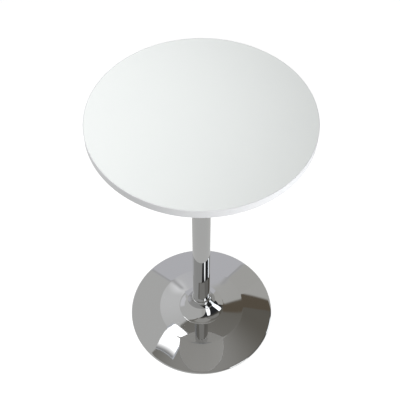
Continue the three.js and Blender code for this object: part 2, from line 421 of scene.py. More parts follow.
@dataclass(frozen=True)
class ChromePlate:
    """Mirror chrome on polished steel, with faint wiping marks."""

    name: str = "mirror_chrome"
    tone: Colour = (0.62, 0.622, 0.622)
    roughness_low: float = 0.025
    roughness_high: float = 0.07
    ripple_scale: float = 11.0
    ripple_depth: float = 0.00012

    def material(self, effects: Effects) -> bpy.types.Material:
        """Builds the material.

        Args:
            effects: The shader groups that the finishes share.

        Returns:
            The material.
        """
        graph = FinishGraph(self.name, Metallic=1.0, Base_Color=rgba(self.tone))
        smudge = graph.use(effects.smudge, "Mask", Scale=9.0, Cover=0.55)
        graph.roughness(smudge, self.roughness_low, self.roughness_high)
        ripple = graph.use(effects.ripple, "Height", Scale=self.ripple_scale)
        graph.relief((ripple, self.ripple_depth))
        return graph.material


@dataclass(frozen=True)
class DullPlate:
    """The unpolished inner side of the pressed shell, thinly plated over the press marks."""

    name: str = "dull_plate"
    tone: Colour = (0.36, 0.36, 0.355)
    stain: Colour = (0.22, 0.2, 0.175)

    def material(self, effects: Effects) -> bpy.types.Material:
        """Builds the material.

        Args:
            effects: The shader groups that the finishes share.

        Returns:
            The material.
        """
        graph = FinishGraph(self.name, Metallic=1.0)
        stains = graph.use(effects.smudge, "Mask", Scale=14.0, Cover=0.9)
        graph.colour(graph.blend(stains, rgba(self.tone), rgba(self.stain)))
        marks = graph.use(effects.turning, "Height", Spacing=0.0011)
        grain = graph.use(effects.grain, "Height", Scale=700.0)
        graph.roughness(graph.use(effects.grain, "Mask", Scale=420.0), 0.34, 0.52)
        graph.relief((marks, 0.00005), (grain, 0.00003))
        return graph.material


@dataclass(frozen=True)
class Laminate:
    """White decorative laminate, satin with a very fine peel."""

    name: str = "white_laminate_sheet"
    tone: Colour = (0.785, 0.81, 0.802)
    shade: Colour = (0.777, 0.802, 0.796)
    roughness_low: float = 0.23
    roughness_high: float = 0.28
    grain_scale: float = 1500.0
    grain_depth: float = 0.000006

    def material(self, effects: Effects) -> bpy.types.Material:
        """Builds the material.

        Args:
            effects: The shader groups that the finishes share.

        Returns:
            The material.
        """
        graph = FinishGraph(self.name, Specular_IOR_Level=0.25)
        cloud = graph.use(effects.smudge, "Mask", Scale=5.0, Cover=0.8)
        graph.colour(graph.blend(cloud, rgba(self.tone), rgba(self.shade)))
        graph.roughness(graph.use(effects.smudge, "Mask", Scale=7.0, Cover=0.6),
                        self.roughness_low, self.roughness_high)
        graph.relief((graph.use(effects.grain, "Height", Scale=self.grain_scale), self.grain_depth))
        return graph.material


@dataclass(frozen=True)
class PowderCoat:
    """Silver-grey powder coat with an orange-peel skin, rubbed a little at its edges."""

    name: str = "grey_powder_coat"
    tone: Colour = (0.4, 0.41, 0.42)
    fleck: Colour = (0.5, 0.51, 0.52)
    bare: Colour = (0.6, 0.59, 0.57)

    def material(self, effects: Effects) -> bpy.types.Material:
        """Builds the material.

        Args:
            effects: The shader groups that the finishes share.

        Returns:
            The material.
        """
        graph = FinishGraph(self.name)
        flecks = graph.use(effects.grain, "Mask", Scale=2600.0)
        painted = graph.blend(flecks, rgba(self.tone), rgba(self.fleck))
        worn = graph.use(effects.wear, "Mask", Amount=0.8, Scale=160.0)
        graph.colour(graph.blend(worn, painted, rgba(self.bare)))
        graph.feed(graph.shader.inputs["Metallic"], worn)
        graph.roughness(graph.use(effects.smudge, "Mask", Scale=20.0, Cover=0.7), 0.4, 0.55)
        peel = graph.use(effects.grain, "Height", Scale=650.0)
        graph.relief((peel, 0.00004))
        return graph.material


@dataclass(frozen=True)
class ZincPlate:
    """Bright zinc on turned steel, with the faint blue and straw tints of its passivation."""

    name: str = "zinc_plated_steel"
    cool: Colour = (0.6, 0.625, 0.66)
    warm: Colour = (0.67, 0.64, 0.56)

    def material(self, effects: Effects) -> bpy.types.Material:
        """Builds the material.

        Args:
            effects: The shader groups that the finishes share.

        Returns:
            The material.
        """
        graph = FinishGraph(self.name, Metallic=1.0)
        tint = graph.use(effects.smudge, "Mask", Scale=60.0, Cover=0.9)
        graph.colour(graph.blend(tint, rgba(self.cool), rgba(self.warm)))
        graph.roughness(graph.use(effects.turning, "Mask", Spacing=0.00025), 0.24, 0.42)
        graph.relief((graph.use(effects.turning, "Height", Spacing=0.00018), 0.000012))
        return graph.material


@dataclass(frozen=True)
class CastIron:
    """Sand-cast iron under a thin coat of black primer."""

    name: str = "primed_cast_iron"
    primer: Colour = (0.045, 0.045, 0.048)
    dusty: Colour = (0.075, 0.073, 0.07)
    iron: Colour = (0.17, 0.13, 0.1)

    def material(self, effects: Effects) -> bpy.types.Material:
        """Builds the material.

        Args:
            effects: The shader groups that the finishes share.

        Returns:
            The material.
        """
        graph = FinishGraph(self.name)
        worn = graph.use(effects.wear, "Mask", Amount=1.0, Scale=90.0)
        dust = graph.use(effects.smudge, "Mask", Scale=18.0, Cover=0.35)
        primed = graph.blend(dust, rgba(self.primer), rgba(self.dusty))
        graph.colour(graph.blend(worn, primed, rgba(self.iron)))
        graph.roughness(graph.use(effects.grain, "Mask", Scale=300.0), 0.5, 0.78)
        coarse = graph.use(effects.grain, "Height", Scale=260.0)
        fine = graph.use(effects.grain, "Height", Scale=1400.0)
        graph.relief((coarse, 0.0003), (fine, 0.00006))
        return graph.material


@dataclass(frozen=True)
class Rubber:
    """Black moulded rubber, a little grey with dust."""

    name: str = "black_moulded_rubber"
    tone: Colour = (0.02, 0.02, 0.021)
    dusty: Colour = (0.11, 0.105, 0.1)

    def material(self, effects: Effects) -> bpy.types.Material:
        """Builds the material.

        Args:
            effects: The shader groups that the finishes share.

        Returns:
            The material.
        """
        graph = FinishGraph(self.name)
        dust = graph.use(effects.dust, "Mask", Amount=0.45, Scale=70.0)
        graph.colour(graph.blend(dust, rgba(self.tone), rgba(self.dusty)))
        graph.roughness(graph.use(effects.grain, "Mask", Scale=500.0), 0.62, 0.82)
        graph.relief((graph.use(effects.grain, "Height", Scale=900.0), 0.00004))
        return graph.material


@dataclass(frozen=True)
class Fibreboard:
    """Raw medium-density fibreboard: short pale and dark fibres pressed flat."""

    name: str = "raw_fibreboard"
    pale: Colour = (0.5, 0.37, 0.24)
    dark: Colour = (0.3, 0.2, 0.115)

    def material(self, effects: Effects) -> bpy.types.Material:
        """Builds the material.

        Args:
            effects: The shader groups that the finishes share.

        Returns:
            The material.
        """
        graph = FinishGraph(self.name)
        fibres = graph.use(effects.grain, "Mask", Scale=420.0, Stretch=3.5)
        graph.colour(graph.blend(fibres, rgba(self.pale), rgba(self.dark)))
        graph.roughness(graph.use(effects.grain, "Mask", Scale=800.0), 0.75, 0.92)
        graph.relief((graph.use(effects.grain, "Height", Scale=420.0, Stretch=3.5), 0.00012))
        return graph.material


class Finishes:
    """Every finish of the table, made once and looked up by slot."""

    def __init__(self) -> None:
        """Makes the materials."""
        effects = Effects()
        self.by_slot: dict[Slot, bpy.types.Material] = {
            Slot.LAMINATE: Laminate().material(effects),
            Slot.EDGE: Laminate(
                name="white_edge_band",
                tone=(0.79, 0.797, 0.815),
                shade=(0.775, 0.782, 0.8),
                roughness_low=0.3,
                roughness_high=0.42,
                grain_scale=2200.0,
            ).material(effects),
            Slot.BOARD: Fibreboard().material(effects),
            Slot.CHROME: ChromePlate().material(effects),
            Slot.PAINT: PowderCoat().material(effects),
            Slot.ZINC: ZincPlate().material(effects),
            Slot.IRON: CastIron().material(effects),
            Slot.RUBBER: Rubber().material(effects),
        }
        self.tube_chrome = ChromePlate(
            name="mirror_chrome_tube", ripple_scale=6.0, ripple_depth=0.00003
        ).material(effects)
        self.shell_inside = DullPlate().material(effects)
        # The backing sheet is a dimmer, warmer copy of the white laminate. That dimming is painted shade
        # for the underside, which lies in shade.
        self.shade_dimmed_backing = Laminate(
            name="shade_dimmed_backing_sheet",
            tone=(0.655, 0.643, 0.622),
            shade=(0.637, 0.624, 0.603),
            roughness_low=0.36,
            roughness_high=0.46,
            grain_scale=1100.0,
            grain_depth=0.00001,
        ).material(effects)


# ---------------------------------------------------------------- shapes


def arc(centre: Point2, radius: float, start: float, end: float, steps: int) -> list[Point2]:
    """Points along an arc in the plane of radius and height.

    Args:
        centre: The arc's centre.
        radius: Its radius.
        start: The angle of its first point, in radians.
        end: The angle of its last point.
        steps: How many chords it has.

    Returns:
        The points, ends included.
    """
    angles = [start + (end - start) * i / steps for i in range(steps + 1)]
    return [(centre[0] + radius * math.cos(a), centre[1] + radius * math.sin(a)) for a in angles]


def block(inner: float, outer: float, low: float, high: float) -> list[Point2]:
    """The outline of a plain ring or, with an inner radius of 0, of a disc."""
    return [(inner, low), (outer, low), (outer, high), (inner, high)]


def place_of(vert: bmesh.types.BMVert) -> Point3:
    """Where a vertex lies."""
    return vert.co.to_tuple()


def corners_of(part: bmesh.types.BMEdge | bmesh.types.BMFace) -> list[int]:
    """The numbers of an edge's or a face's vertices."""
    return sorted(vert.index for vert in part.verts)


def number_by_place(bm: bmesh.types.BMesh) -> None:
    """Numbers vertices, edges and faces by where they lie, so that they come out alike in every run.

    Args:
        bm: The mesh.
    """
    for parts, key in ((bm.verts, place_of), (bm.edges, corners_of), (bm.faces, corners_of)):
        for number, part in enumerate(sorted(parts, key=key)):
            part.index = number
        parts.sort()
        parts.index_update()


def turned(
    outline: list[Point2], segments: int, sweep: float = FULL_TURN, rise: float = 0.0
) -> bmesh.types.BMesh:
    """Spins an outline round the Z axis.

    Args:
        outline: Points of radius and height. It closes on itself, unless its ends lie on the axis.
        segments: How many steps a turn has.
        sweep: How far it turns, in radians.
        rise: How far it climbs on the way, as a coil does.

    Returns:
        The spun mesh.
    """
    bm = bmesh.new()
    verts = [bm.verts.new((radius, 0.0, height)) for radius, height in outline]
    edges = [bm.edges.new(pair) for pair in zip(verts, verts[1:])]
    if outline[0][0] > 0:
        edges.append(bm.edges.new((verts[-1], verts[0])))
    whole = sweep >= FULL_TURN - 1e-6
    profile: list[Any] = [*verts, *edges]
    if not whole:
        profile.append(bm.faces.new(verts))
    bmesh.ops.spin(
        bm,
        geom=profile,
        cent=(0, 0, 0),
        axis=(0, 0, 1),
        dvec=(0, 0, rise / segments),
        angle=sweep,
        steps=segments,
        use_merge=whole,
        use_duplicate=False,
    )
    bmesh.ops.remove_doubles(bm, verts=bm.verts, dist=1e-7)
    number_by_place(bm)
    bmesh.ops.recalc_face_normals(bm, faces=bm.faces)
    return bm


def soften(bm: bmesh.types.BMesh, width: float, segments: int = 3) -> bmesh.types.BMesh:
    """Rounds every sharp edge of a mesh.

    Args:
        bm: The mesh.
        width: The round's width.
        segments: How many faces cross it.

    Returns:
        The same mesh.
    """
    sharp = [e for e in bm.edges if len(e.link_faces) == 2 and e.calc_face_angle(0.0) > SHARP_ANGLE]
    bmesh.ops.bevel(
        bm,
        geom=sharp,
        offset=width,
        offset_type="OFFSET",
        affect="EDGES",
        segments=segments,
        profile=0.5,
        material=-1,
        clamp_overlap=True,
    )
    return bm


def to_object(name: str, bm: bmesh.types.BMesh) -> bpy.types.Object:
    """Turns a bmesh into a smooth-shaded object at the origin, and frees it.

    Args:
        name: The object's name.
        bm: The bmesh.

    Returns:
        The object.
    """
    mesh = bpy.data.meshes.new(name)
    for face in bm.faces:
        face.smooth = True
    bm.to_mesh(mesh)
    bm.free()
    made = bpy.data.objects.new(name, mesh)
    bpy.context.scene.collection.objects.link(made)
    return made


def even_normals(piece: bpy.types.Object) -> bpy.types.Object:
    """Keeps flat faces flat in the shading beside their rounded edges.

    Args:
        piece: The piece.

    Returns:
        The same piece.
    """
    weighted = piece.modifiers.new("even_normals", "WEIGHTED_NORMAL")
    weighted.keep_sharp = True
    weighted.weight = 100
    return piece


def carve(bm: bmesh.types.BMesh, cutters: list[bmesh.types.BMesh], cut: Cut) -> bmesh.types.BMesh:
    """Cuts a mesh with others.

    Args:
        bm: The mesh that is cut.
        cutters: The meshes that cut it, which are used up.
        cut: What is kept.

    Returns:
        The cut mesh.
    """
    target = to_object("carve_target", bm)
    tools = [to_object("carve_tool", cutter) for cutter in cutters]
    for tool in tools:
        step = target.modifiers.new("carve", "BOOLEAN")
        step.operation = cut.value
        step.solver = "EXACT"
        step.object = tool
    depsgraph = bpy.context.evaluated_depsgraph_get()
    result = bmesh.new()
    result.from_object(target, depsgraph)
    for used in [target, *tools]:
        bpy.data.objects.remove(used)
    bmesh.ops.remove_doubles(result, verts=result.verts, dist=1e-6)
    bmesh.ops.dissolve_limit(result, angle_limit=FLAT_ANGLE, verts=result.verts, edges=result.edges)
    return result


def cylinder(
    radius: float, low: float, high: float, segments: int, at: Point2 = (0.0, 0.0)
) -> bmesh.types.BMesh:
    """A plain upright cylinder, for cutting with. Six segments make a hexagon.

    Args:
        radius: Its radius, or the hexagon's, out to its corners.
        low: The height of its foot.
        high: The height of its upper end.
        segments: How many sides it has.
        at: Where its axis stands.

    Returns:
        The mesh.
    """
    bm = bmesh.new()
    bmesh.ops.create_cone(
        bm,
        cap_ends=True,
        segments=segments,
        radius1=radius,
        radius2=radius,
        depth=high - low,
        matrix=Matrix.Translation((*at, (low + high) / 2)),
    )
    return bm


@dataclass(frozen=True)
class NodeBox:
    """Where a CAD node lies, as a round piece about the Z axis."""

    radius: float
    low: float
    high: float
    centre: Vector

    @classmethod
    def of(cls, node: str) -> "NodeBox":
        """Reads a node's box from the frame."""
        low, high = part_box(node)
        return cls((high.x - low.x) / 2, low.z, high.z, (low + high) / 2)


def present(
    piece: bpy.types.Object, slot: Slot, materials: list[bpy.types.Material], *nodes: str
) -> None:
    """Finishes a new piece: its materials, its body and the CAD nodes that it stands for.

    Args:
        piece: The piece.
        slot: Not used.
        materials: Its materials, in the order of its faces' material numbers.
        *nodes: The CAD nodes that it replaces.
    """
    for material in materials:
        piece.data.materials.append(material)
    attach(piece, ROOT)
    if nodes:
        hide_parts(*nodes)
    purpose = ", ".join(nodes) or "the look only"
    log.info("built %s, %d faces, for %s", piece.name, len(piece.data.polygons), purpose)


def dress(node: str, slot: Slot, finishes: Finishes) -> None:
    """Gives a CAD node that stays its finish.

    Args:
        node: The node.
        slot: The record's slot for it.
        finishes: The finishes.
    """
    piece = frame["nodes"][node]
    piece.data.materials.clear()
    piece.data.materials.append(finishes.by_slot[slot])
    log.info("dressed %s", node)


# ---------------------------------------------------------------- sub-assemblies


@dataclass
class TableTop:
    """The round top: a board between two laminates, with a band round its edge."""

    finishes: Finishes
    segments: int = 256
    band_round: float = 1.1 * MM
    sheet_round: float = 0.25 * MM
    joint: float = 0.04 * MM
    bolt_recess: float = 18 * MM
    insert_gap: float = 0.3 * MM
    cut_over: float = 1 * MM

    def build(self) -> None:
        """Builds the visible sheets and the band, and dresses what they hide."""
        self._edge_band()
        self._top_sheet()
        self._bottom_sheet()
        dress("tabletop_core", Slot.BOARD, self.finishes)

    def _edge_band(self) -> None:
        """The band: a thin ring with its outer corners eased."""
        band = NodeBox.of("edge_band")
        sheet = NodeBox.of("top_laminate")
        inner = sheet.radius + self.joint
        ease = self.band_round
        outline = [
            (inner, band.low),
            *arc((band.radius - ease, band.low + ease), ease, -QUARTER_TURN, 0.0, 4),
            *arc((band.radius - ease, band.high - ease), ease, 0.0, QUARTER_TURN, 4),
            (inner, band.high),
        ]
        piece = even_normals(to_object("edge_band_round", turned(outline, self.segments)))
        present(piece, Slot.EDGE, [self.finishes.by_slot[Slot.EDGE]], "edge_band")

    def _top_sheet(self) -> None:
        """The white face, with its sharp edge just broken."""
        sheet = NodeBox.of("top_laminate")
        disc = turned(block(0.0, sheet.radius, sheet.low, sheet.high), self.segments)
        piece = even_normals(to_object("top_laminate_sheet", soften(disc, self.sheet_round, 2)))
        present(piece, Slot.LAMINATE, [self.finishes.by_slot[Slot.LAMINATE]], "top_laminate")

    def _bottom_sheet(self) -> None:
        """The balancing sheet underneath, cut away for the bolt and for each insert."""
        sheet = NodeBox.of("bottom_laminate")
        low, high = sheet.low - self.cut_over, sheet.high + self.cut_over
        holes = [cylinder(self.bolt_recess, low, high, 48)]
        for number in range(1, SCREW_COUNT + 1):
            insert = NodeBox.of(f"plate_insert_{number}")
            place = (insert.centre.x, insert.centre.y)
            holes.append(cylinder(insert.radius + self.insert_gap, low, high, 32, place))
        disc = turned(block(0.0, sheet.radius, sheet.low, sheet.high), self.segments)
        bm = soften(carve(disc, holes, Cut.DIFFERENCE), self.sheet_round / 2, 1)
        piece = even_normals(to_object("bottom_laminate_sheet", bm))
        # Its finish is the dimmed copy of the laminate: painted shade on the underside.
        present(piece, Slot.LAMINATE, [self.finishes.shade_dimmed_backing], "bottom_laminate")


@dataclass
class UnderPlate:
    """The steel plate under the top, its socket and its screws."""

    finishes: Finishes
    screw_hole: float = 3.4 * MM
    bolt_hole: float = 6.5 * MM
    edge_round: float = 0.5 * MM
    head_key: float = 5.0 * MM
    key_depth: float = 2.2 * MM
    shank: float = 2.9 * MM
    point: float = 1 * MM
    head_flat: float = 0.62
    head_round: float = 0.12 * MM
    seat_step: float = 0.3 * MM
    washer_round: float = 0.3 * MM
    cut_over: float = 1 * MM
    socket_gap: float = 0.3 * MM
    socket_round: float = 0.7 * MM
    bead: float = 2.2 * MM
    bead_gap: float = 0.05 * MM
    ripples: int = 36
    ripple_swell: float = 0.132 * MM

    def build(self) -> None:
        """Builds the plate, the socket, the weld and each screw with its washer."""
        self._plate()
        self._socket()
        self._weld()
        for number in range(1, SCREW_COUNT + 1):
            self._screw(number)
            self._washer(number)
            dress(f"plate_insert_{number}", Slot.ZINC, self.finishes)

    def _screw_places(self) -> list[Vector]:
        """Where the screws stand."""
        return [NodeBox.of(f"plate_screw_{n}").centre for n in range(1, SCREW_COUNT + 1)]

    def _plate(self) -> None:
        """A round plate with its screw holes and its bolt hole."""
        plate = NodeBox.of("top_plate")
        low, high = plate.low - self.cut_over, plate.high + self.cut_over
        disc = turned(block(0.0, plate.radius, plate.low, plate.high), 128)
        holes = [cylinder(self.bolt_hole, low, high, 32)]
        holes += [
            cylinder(self.screw_hole, low, high, 24, (place.x, place.y)) for place in self._screw_places()
        ]
        bm = soften(carve(disc, holes, Cut.DIFFERENCE), self.edge_round, 2)
        piece = even_normals(to_object("top_plate_round", bm))
        present(piece, Slot.PAINT, [self.finishes.by_slot[Slot.PAINT]], "top_plate")

    def _socket(self) -> None:
        """The short tube that the column's upper end stands in."""
        socket = NodeBox.of("plate_socket")
        inner = NodeBox.of("column_tube").radius + self.socket_gap
        ring = turned(block(inner, socket.radius, socket.low, socket.high), 128)
        piece = even_normals(to_object("plate_socket_round", soften(ring, self.socket_round, 3)))
        present(piece, Slot.PAINT, [self.finishes.by_slot[Slot.PAINT]], "plate_socket")

    def _weld(self) -> None:
        """The painted weld bead in the corner between socket and plate, rippled along its length."""
        socket = NodeBox.of("plate_socket")
        plate = NodeBox.of("top_plate")
        corner = (socket.radius + self.bead_gap, plate.low - self.bead_gap)
        outline = [corner, *arc(corner, self.bead, -QUARTER_TURN, 0.0, 6)]
        bm = turned(outline, 240)
        for vert in bm.verts:
            reach = math.hypot(vert.co.x, vert.co.y)
            away = reach - corner[0] + corner[1] - vert.co.z
            if away > self.bead / 2:
                turn = math.atan2(vert.co.y, vert.co.x)
                swell = self.ripple_swell * abs(math.sin(turn * self.ripples))
                vert.co += swell * Vector((math.cos(turn), math.sin(turn), -1.0))
        piece = to_object("socket_weld", bm)
        present(piece, Slot.PAINT, [self.finishes.by_slot[Slot.PAINT]])

    def _screw(self, number: int) -> None:
        """A pan-head screw with a hexagon socket.

        Args:
            number: Which screw.
        """
        node = f"plate_screw_{number}"
        screw = NodeBox.of(node)
        washer = NodeBox.of(f"plate_washer_{number}")
        seat = washer.low - self.seat_step
        flat = screw.radius * self.head_flat
        corner = screw.radius - flat
        outline = [
            (0.0, screw.low),
            (flat, screw.low),
            *arc((flat, screw.low + corner), corner, -QUARTER_TURN, 0.0, 5),
            (screw.radius, seat),
            (self.shank, seat),
            (self.shank, screw.high - self.point),
            (self.shank - self.point, screw.high),
            (0.0, screw.high),
        ]
        key_foot, key_end = screw.low - self.cut_over, screw.low + self.key_depth
        key = cylinder(self.head_key / HEXAGON, key_foot, key_end, 6)
        bm = soften(carve(turned(outline, 32), [key], Cut.DIFFERENCE), self.head_round, 2)
        bmesh.ops.translate(bm, verts=bm.verts, vec=(screw.centre.x, screw.centre.y, 0.0))
        piece = even_normals(to_object(f"plate_screw_{number}_head", bm))
        present(piece, Slot.ZINC, [self.finishes.by_slot[Slot.ZINC]], node)

    def _washer(self, number: int) -> None:
        """A flat washer with its stamped edge rolled over.

        Args:
            number: Which screw's washer.
        """
        node = f"plate_washer_{number}"
        washer = NodeBox.of(node)
        ring = turned(block(self.screw_hole, washer.radius, washer.low, washer.high), 48)
        bm = soften(ring, self.washer_round, 2)
        bmesh.ops.translate(bm, verts=bm.verts, vec=(washer.centre.x, washer.centre.y, 0.0))
        piece = even_normals(to_object(f"plate_washer_{number}_round", bm))
        present(piece, Slot.ZINC, [self.finishes.by_slot[Slot.ZINC]], node)


@dataclass
class Column:
    """The chrome tube and the ring round its foot."""

    finishes: Finishes
    segments: int = 160
    wall: float = 1.5 * MM
    cut_round: float = 0.3 * MM
    collar_gap: float = 0.12 * MM
    collar_shoulder: float = 0.62
    collar_lip: float = 0.35 * MM
    collar_foot: float = 0.4 * MM

    def build(self) -> None:
        """Builds the tube and the ring, and dresses the plugs in the tube's ends."""
        tube = NodeBox.of("column_tube")
        bm = soften(
            turned(block(tube.radius - self.wall, tube.radius, tube.low, tube.high), self.segments),
            self.cut_round,
            2,
        )
        piece = even_normals(to_object("column_tube_round", bm))
        present(piece, Slot.CHROME, [self.finishes.tube_chrome], "column_tube")
        self._collar(tube.radius)
        dress("column_top_plug", Slot.ZINC, self.finishes)
        dress("column_foot_plug", Slot.ZINC, self.finishes)

    def _collar(self, tube_radius: float) -> None:
        """The ring: its outer shoulder is well rounded and its inner lip just eased.

        Args:
            tube_radius: The tube's outer radius.
        """
        collar = NodeBox.of("neck_collar")
        inner = tube_radius + self.collar_gap
        shoulder = (collar.radius - inner) * self.collar_shoulder
        lip, foot = self.collar_lip, self.collar_foot
        outline = [
            (inner, collar.low),
            *arc((collar.radius - foot, collar.low + foot), foot, -QUARTER_TURN, 0.0, 3),
            *arc((collar.radius - shoulder, collar.high - shoulder), shoulder, 0.0, QUARTER_TURN, 10),
            *arc((inner + lip, collar.high - lip), lip, QUARTER_TURN, math.pi, 3),
        ]
        piece = even_normals(to_object("neck_collar_round", turned(outline, self.segments)))
        present(piece, Slot.CHROME, [self.finishes.by_slot[Slot.CHROME]], "neck_collar")


@dataclass(frozen=True)
class Station:
    """A point of the shell's outer face: its radius, its height and its slope down and outwards."""

    radius: float
    height: float
    slope: float


@dataclass(frozen=True)
class Bend:
    """A convex arc of the shell between two stations."""

    outer: Station
    inner: Station
    centre: Point2
    size: float

    @classmethod
    def inwards(cls, outer: Station, radius: float, slope: float) -> "Bend":
        """The arc that leaves a station at its slope and has another slope further in.

        Args:
            outer: The station where it starts.
            radius: The radius of the station where it ends.
            slope: The slope there.

        Returns:
            The arc.
        """
        size = (outer.radius - radius) / (math.sin(outer.slope) - math.sin(slope))
        run, drop = size * math.sin(outer.slope), size * math.cos(outer.slope)
        centre = (outer.radius - run, outer.height - drop)
        return cls(outer, Station(radius, centre[1] + size * math.cos(slope), slope), centre, size)

    def points(self, depth: float, steps: int) -> list[Point2]:
        """Points along the arc at a depth below the outer face, without its first."""
        start, end = QUARTER_TURN - self.outer.slope, QUARTER_TURN - self.inner.slope
        return arc(self.centre, self.size - depth, start, end, steps)[1:]


@dataclass
class ShellOutline:
    """The base shell's outline: rim wall, roll, cone, crease, shoulder, fillet, flare and neck top."""

    rim_radius: float
    rim_foot: float
    neck_radius: float
    bore: float = 6.5 * MM
    rim_wall: float = 2 * MM
    rim_roll: float = 4 * MM
    cone_outer_slope: float = math.radians(13.75)
    cone_inner_slope: float = math.radians(12.4)
    cone_inner: float = 151 * MM
    shoulder_outer: float = 146 * MM
    shoulder_outer_slope: float = math.radians(2.5)
    shoulder_inner_slope: float = math.radians(1.8)
    flare: float = 63.4 * MM
    flare_slope: float = math.radians(18)
    fillet: float = 5 * MM

    def at_depth(self, depth: float, fineness: float) -> list[Point2]:
        """The outline at a depth below the outer face, from the rim's cut edge to the neck's bore.

        Args:
            depth: How far below the outer face, in metres.
            fineness: Multiplies how many chords each arc has.

        Returns:
            Points of radius and height.
        """
        roll_end = self.rim_radius - self.rim_roll * (1 - math.sin(self.cone_outer_slope))
        rim_top = Station(self.rim_radius, self.rim_foot + self.rim_wall, QUARTER_TURN)
        roll = Bend.inwards(rim_top, roll_end, self.cone_outer_slope)
        cone = Bend.inwards(roll.inner, self.cone_inner, self.cone_inner_slope)
        crease = Bend.inwards(cone.inner, self.shoulder_outer, self.shoulder_outer_slope)
        flare_foot = self.neck_radius + self.flare * (1 - math.sin(self.flare_slope))
        run = self.fillet * (math.sin(self.flare_slope) - math.sin(self.shoulder_inner_slope))
        shoulder = Bend.inwards(crease.inner, flare_foot + run, self.shoulder_inner_slope)
        shoulder_end, slope = shoulder.inner, self.shoulder_inner_slope
        fillet_centre = (
            shoulder_end.radius + self.fillet * math.sin(slope),
            shoulder_end.height + self.fillet * math.cos(slope),
        )
        neck_top = fillet_centre[1] + (self.flare - self.fillet) * math.cos(self.flare_slope)
        outline = [(self.rim_radius - depth, self.rim_foot), (self.rim_radius - depth, rim_top.height)]
        for bend, chords in ((roll, 10), (cone, 24), (crease, 12), (shoulder, 12)):
            outline += bend.points(depth, max(3, round(chords * fineness)))
        joint = -QUARTER_TURN - self.flare_slope
        fillet_chords, flare_chords = (round(chords * fineness) for chords in (10, 48))
        fillet = arc(fillet_centre, self.fillet + depth, -QUARTER_TURN - slope, joint, fillet_chords)
        flare_centre = (self.neck_radius + self.flare, neck_top)
        flare = arc(flare_centre, self.flare + depth, joint, -math.pi, flare_chords)
        outline += fillet[1:]
        outline += flare[1:-1]
        outline += [(self.neck_radius - depth, neck_top - depth), (self.bore, neck_top - depth)]
        return outline


